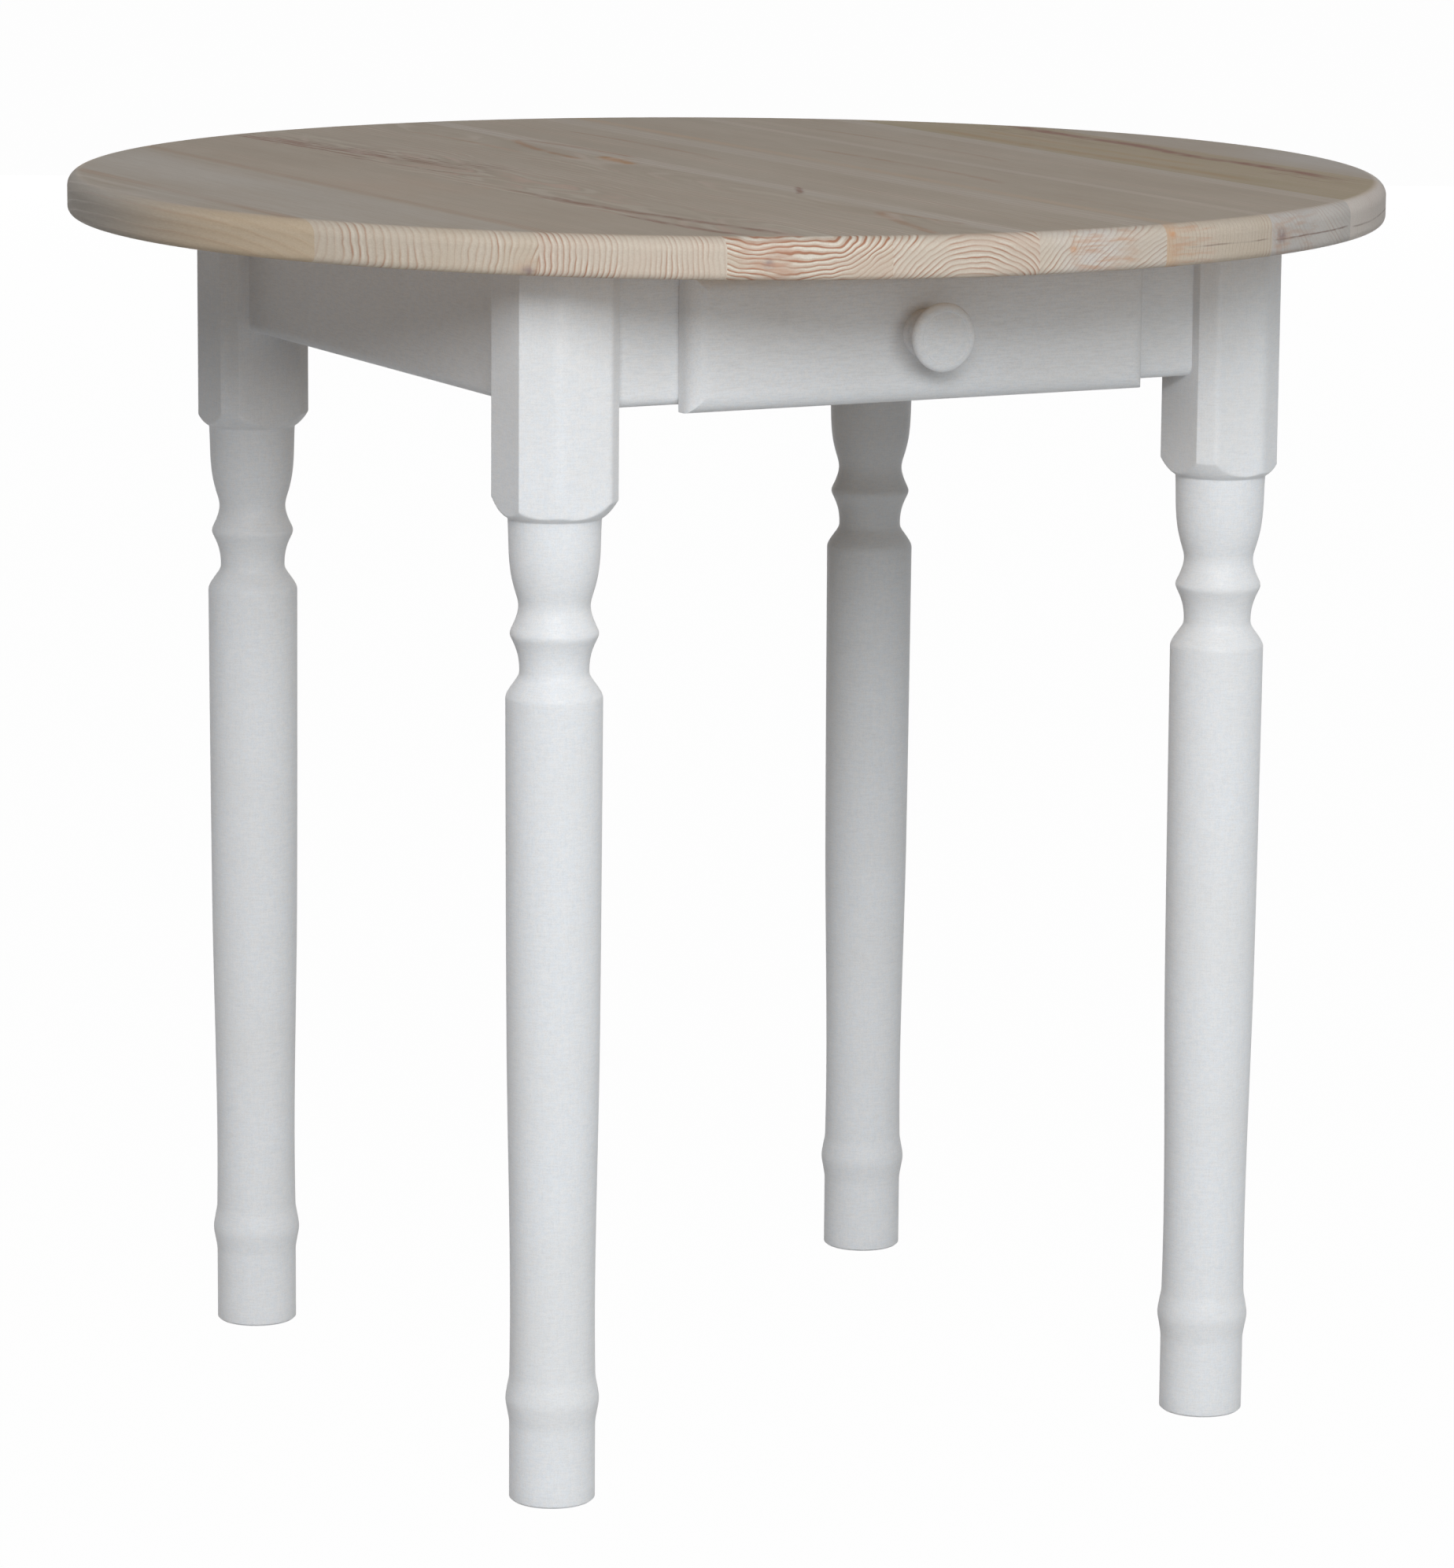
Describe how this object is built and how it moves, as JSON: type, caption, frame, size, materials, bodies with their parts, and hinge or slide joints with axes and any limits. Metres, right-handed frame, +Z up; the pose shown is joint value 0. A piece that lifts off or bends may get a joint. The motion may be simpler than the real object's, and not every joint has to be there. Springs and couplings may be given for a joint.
{
  "type": "tavern table",
  "caption": "Round tavern table with a glued pine top on turned and painted legs, aprons between them and a knobbed drawer that slides out at the front.",
  "frame": {"origin": "on the floor, under the middle of the round top", "axes": "+Z up to the table top, +X right along the front, +Y to the back; the drawer opens along -Y"},
  "size_m": [0.8, 0.8, 0.75],
  "materials": {
    "pine_top": "clear matt varnish on pine",
    "painted_wood": "satin cool white paint",
    "bare_pine": "bare planed pine",
    "plywood": "bare plywood",
    "zinc_steel": "zinc plated"
  },
  "bodies": {
    "table": {"apron_back": "painted_wood", "apron_left": "painted_wood", "apron_right": "painted_wood", "brace_screws": "zinc_steel", "bracket_screws": "zinc_steel", "corner_brace_back_left": "bare_pine", "corner_brace_back_right": "bare_pine", "corner_brace_front_left": "bare_pine", "corner_brace_front_right": "bare_pine", "drawer_stop": "bare_pine", "front_rail_lower": "painted_wood", "front_rail_upper": "painted_wood", "front_stile_left": "painted_wood", "front_stile_right": "painted_wood", "guide_left": "bare_pine", "guide_right": "bare_pine", "hanger_bolts": "zinc_steel", "hanger_nuts": "zinc_steel", "hanger_washers": "zinc_steel", "kicker_left": "bare_pine", "kicker_right": "bare_pine", "leg_back_left": "painted_wood", "leg_back_right": "painted_wood", "leg_front_left": "painted_wood", "leg_front_right": "painted_wood", "rail_screws": "zinc_steel", "runner_left": "bare_pine", "runner_right": "bare_pine", "strip_screws": "zinc_steel", "top_brackets": "zinc_steel", "top_stave_01": "pine_top", "top_stave_02": "pine_top", "top_stave_03": "pine_top", "top_stave_04": "pine_top", "top_stave_05": "pine_top", "top_stave_06": "pine_top", "top_stave_07": "pine_top", "top_stave_08": "pine_top", "top_stave_09": "pine_top", "top_stave_10": "pine_top"},
    "drawer": {"drawer_front": "painted_wood", "drawer_box_front": "bare_pine", "drawer_front_screws": "zinc_steel", "drawer_side_left": "bare_pine", "drawer_side_right": "bare_pine", "drawer_back": "bare_pine", "drawer_bottom": "plywood", "drawer_pins": "zinc_steel", "catch_screw": "zinc_steel", "knob": "painted_wood", "knob_washer": "zinc_steel", "knob_screw": "zinc_steel"},
    "catch": {"drawer_catch": "bare_pine"}
  },
  "joints": [
    {"name": "drawer_slide", "type": "slide", "parent": "table", "child": "drawer", "axis": [0, -1, 0], "range_m": [0, 0.25]},
    {"name": "catch_turn", "type": "hinge", "parent": "drawer", "child": "catch", "pos_m": [0, 0.1167, 0.6968], "axis": [0, 1, 0], "range_deg": [0, 90]}
  ]
}
